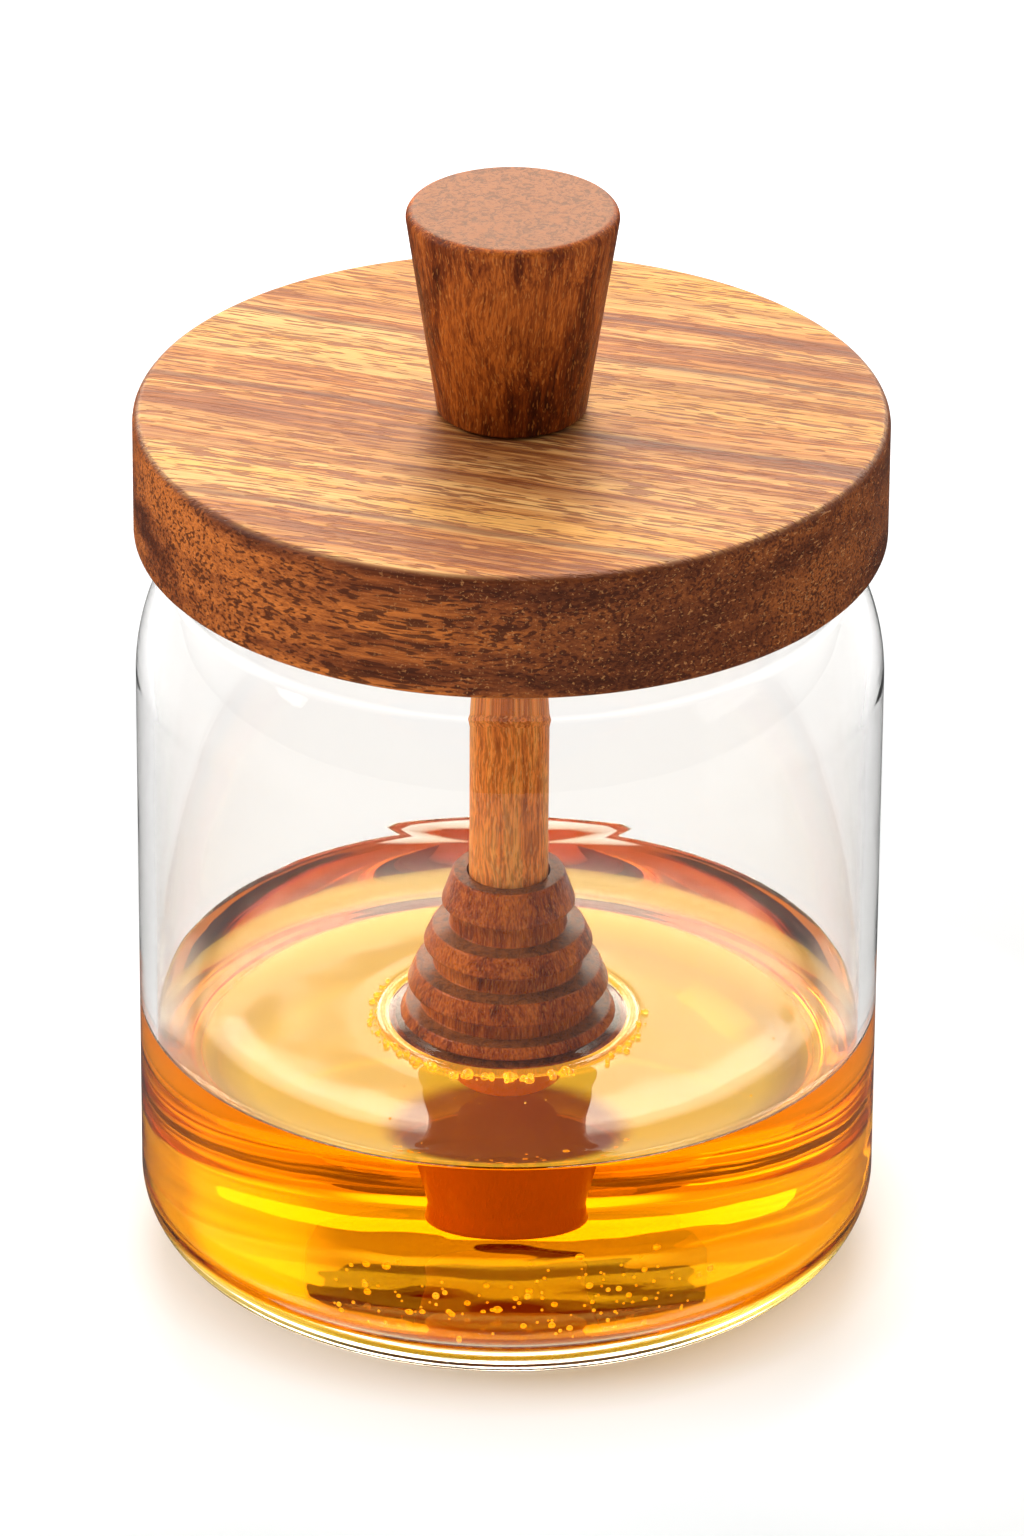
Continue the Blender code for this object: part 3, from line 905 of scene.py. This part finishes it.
def light_studio():
    """A white room that is bright behind the jar and dark behind the camera, with three soft lamps."""
    world = bpy.data.worlds.new("studio")
    bpy.context.scene.world = world
    board = Board(world)
    heading = board.node("ShaderNodeTexCoord", output="Generated")
    right, back, up = board.parts(heading)

    def glow(azimuth, elevation, inner, outer, level):
        """A round glow on the wall, full inside one angle and gone at another."""
        x, y, z = toward(azimuth, elevation)
        nearness = right * x + back * y + up * z
        gone, full = math.cos(math.radians(outer)), math.cos(math.radians(inner))
        return board.step(nearness, gone, full, 0.0, level)

    path = board.tree.nodes.new("ShaderNodeLightPath").outputs
    direct = Field(path["Is Camera Ray"])
    lit = Field(path["Diffuse Depth"]).least(1.0)
    seen = Field(path["Is Glossy Ray"]).most(Field(path["Is Transmission Ray"])) * (1 - lit)
    in_honey = board.step(Field(path["Transmission Depth"]), *HONEY_CROSSINGS) * seen
    room = board.step(back, *ROOM_TURN, ROOM_FRONT, ROOM_BACK)
    mirrored = board.step(back, *SEEN_TURN, SEEN_FRONT, SEEN_BACK) * board.step(up, *SEEN_RISE, SEEN_LOW)
    level = room + seen * (mirrored - room)
    level = level + in_honey * (SEEN_THROUGH_HONEY + glow(*SIDE_GLOW) + glow(*HIGH_GLOW) - level)
    level = level + direct * (1 - level)
    glows = 0.0
    for values in ROOM_GLOWS:
        glows = glow(*values) + glows
    sky = board.shader("ShaderNodeBackground", Color=(1.0, 1.0, 1.0, 1.0), Strength=level)
    warm = board.shader("ShaderNodeBackground", Color=GLOW_COLOR,
                        Strength=glows * seen * (1 - in_honey))
    both = board.node("ShaderNodeAddShader", None, {0: sky, 1: warm})
    out = board.tree.nodes.new("ShaderNodeOutputWorld")
    feed(out.inputs["Surface"], both)
    softbox("left_lamp", *LEFT_LAMP)
    softbox("right_lamp", *RIGHT_LAMP)
    key = softbox("back_lamp", *BACK_LAMP)
    key.visible_glossy = False
    key.visible_transmission = False


def hang_card(name, middle, half_height, half_width, sag, square, color, level):
    """A curved card behind the jar that only the honey shows. Its ends hang sag millimetres higher."""
    outline = []
    for step in range(CARD_CORNERS):
        angle = math.tau * step / CARD_CORNERS
        reach = (abs(math.cos(angle)) ** square + abs(math.sin(angle)) ** square) ** (-1 / square)
        turn, up = reach * math.cos(angle), reach * math.sin(angle)
        outline.append((turn * half_width, middle + up * half_height + sag * turn * turn))
    bm = bmesh.new()
    spine = []
    for turn, height in outline:
        across = math.sin(math.radians(turn)) * CARD_DISTANCE * MILLIMETRE
        back = math.cos(math.radians(turn)) * CARD_DISTANCE * MILLIMETRE
        spine.append(bm.verts.new((across, back, height * MILLIMETRE)))
    half = CARD_CORNERS // 2
    for step in range(half):
        corners = [spine[step], spine[step + 1], spine[-step - 1], spine[-step]]
        bm.faces.new(list(dict.fromkeys(corners)))
    mesh = bpy.data.meshes.new(name)
    bm.to_mesh(mesh)
    bm.free()
    finish = Finish(name)
    weave = finish.noise(finish.place, detail=1.0, scale=60.0)
    shade = finish.mix(weave, tuple(part * 0.9 for part in color), color)
    depth = Field(finish.tree.nodes.new("ShaderNodeLightPath").outputs["Transmission Depth"])
    card = finish.shader("ShaderNodeEmission", Color=shade, Strength=level)
    clear = finish.shader("ShaderNodeBsdfTransparent", Color=(1.0, 1.0, 1.0, 1.0))
    behind_honey = finish.step(depth, *HONEY_CROSSINGS)
    shown = finish.node("ShaderNodeMixShader", None, {0: behind_honey, 1: clear, 2: card})
    out = finish.tree.nodes.new("ShaderNodeOutputMaterial")
    feed(out.inputs["Surface"], shown)
    mesh.materials.append(finish.material)
    card = bpy.data.objects.new(name, mesh)
    bpy.context.scene.collection.objects.link(card)
    card.visible_camera = False
    card.visible_diffuse = False
    card.visible_glossy = False
    card.visible_shadow = False


def lay_floor():
    """A white table with painted light. It glows under the jar and round it, where glass and honey gather the
    light, with painted shadows round the foot and in front of the dipper.
    """
    finish = Finish("white_floor")
    speck = finish.noise(finish.place, detail=2.0, scale=3.0)
    color = finish.ramp(speck, [(0.3, (0.49, 0.49, 0.49)), (0.7, (0.51, 0.51, 0.51))])
    x, y, _ = finish.parts(finish.millimetres())
    away = (x * x + y * y) ** 0.5
    glow = finish.ramp(away / TABLE_GLOW_REACH, TABLE_GLOW)
    forward, full, end = DIPPER_SHADE
    from_shade = (x * x + (y + forward) * (y + forward)) ** 0.5
    glow = finish.mix(finish.step(from_shade, end, full), glow, SHADE_COLOR)
    level, near, far = FRONT_GLOW
    glow = finish.mix(finish.step(y, -near, -far) * level, glow, (1.0, 1.0, 1.0), "ADD")
    material = finish.surface(Base_Color=color, Roughness=0.9, Specular_IOR_Level=0.0,
                              Emission_Color=glow, Emission_Strength=1.0)
    bm = bmesh.new()
    bmesh.ops.create_circle(bm, cap_ends=True, segments=96, radius=FLOOR_RADIUS)
    bmesh.ops.translate(bm, verts=bm.verts, vec=(0.0, 0.0, -FLOOR_DROP))
    mesh = bpy.data.meshes.new("floor")
    bm.to_mesh(mesh)
    bm.free()
    mesh.materials.append(material)
    floor = bpy.data.objects.new("floor", mesh)
    floor.visible_glossy = False
    bpy.context.scene.collection.objects.link(floor)


def set_view():
    scene = bpy.context.scene
    scene.view_settings.view_transform = "Standard"
    scene.cycles.max_bounces = 24
    scene.cycles.transmission_bounces = 24
    scene.cycles.glossy_bounces = 8
    scene.cycles.diffuse_bounces = 4
    scene.cycles.transparent_max_bounces = 16
    scene.cycles.volume_bounces = 0


def build():
    place_camera()
    light_studio()
    hang_card("dark_card", *DARK_CARD)
    hang_card("bright_card", *BRIGHT_CARD)
    lay_floor()
    set_view()

    glass = turned("jar_glass", jar_profile(), GLASS_SIDES, glass_finish("clear_glass", GLASS_MIRROR))
    wet_inside(glass, glass_finish("honey_wet_glass", 0.0))
    dress(glass, "glass_jar")
    honey = turned("honey_fill", honey_profile(), GLASS_SIDES, honey_finish())
    dress(honey, "honey")
    lid = turned("lid_board", lid_profile(), LID_SIDES, lid_wood_finish(), hole=True)
    dress(lid, "wooden_lid")
    knob_wood = turned_wood_finish("brown_knob_wood", *KNOB_WOOD, shine=0.13)
    knob = turned("knob", knob_profile(), KNOB_SIDES, knob_wood)
    dress(knob, "lid_knob")
    rod_wood = turned_wood_finish("plain_rod_wood", *ROD_WOOD, grain=1.6, shine=0.10)
    rod = turned("rod", rod_profile(), ROD_SIDES, rod_wood)
    dress(rod, "dipper_rod")
    head_wood = turned_wood_finish("wet_dipper_wood", *DIPPER_WOOD, wet=0.25, roughness=0.40,
                                   shine=0.06, sunk_painted_color=SUNK_PAINTED_COLOR)
    head = turned("dipper", head_profile(), DIPPER_SIDES, head_wood)
    dress(head, "dipper_head")

    gold = bubble_finish("gold_beads", BEAD_GLOW)
    # The honey's rim round the dipper glows with the beads' painted glow
    dress(turned("gold_collar", collar_profile(), DIPPER_SIDES, gold, hole=True))
    floating = Scatter("strew_beads", gold)
    strewn = {"bead_ring": BEADS, "big_beads": BIG_BEADS, "floating_bubbles": FLOATING_BUBBLES}
    for name, values in strewn.items():
        beads = floating.strew(name, values)
        settle_on_honey(beads)
        dress(beads)
    sunk = Scatter("strew_bubbles", bubble_finish("sunk_bubbles", BUBBLE_GLOW))
    dress(sunk.strew("sunk_bubbles", SUNK_BUBBLES))


build()
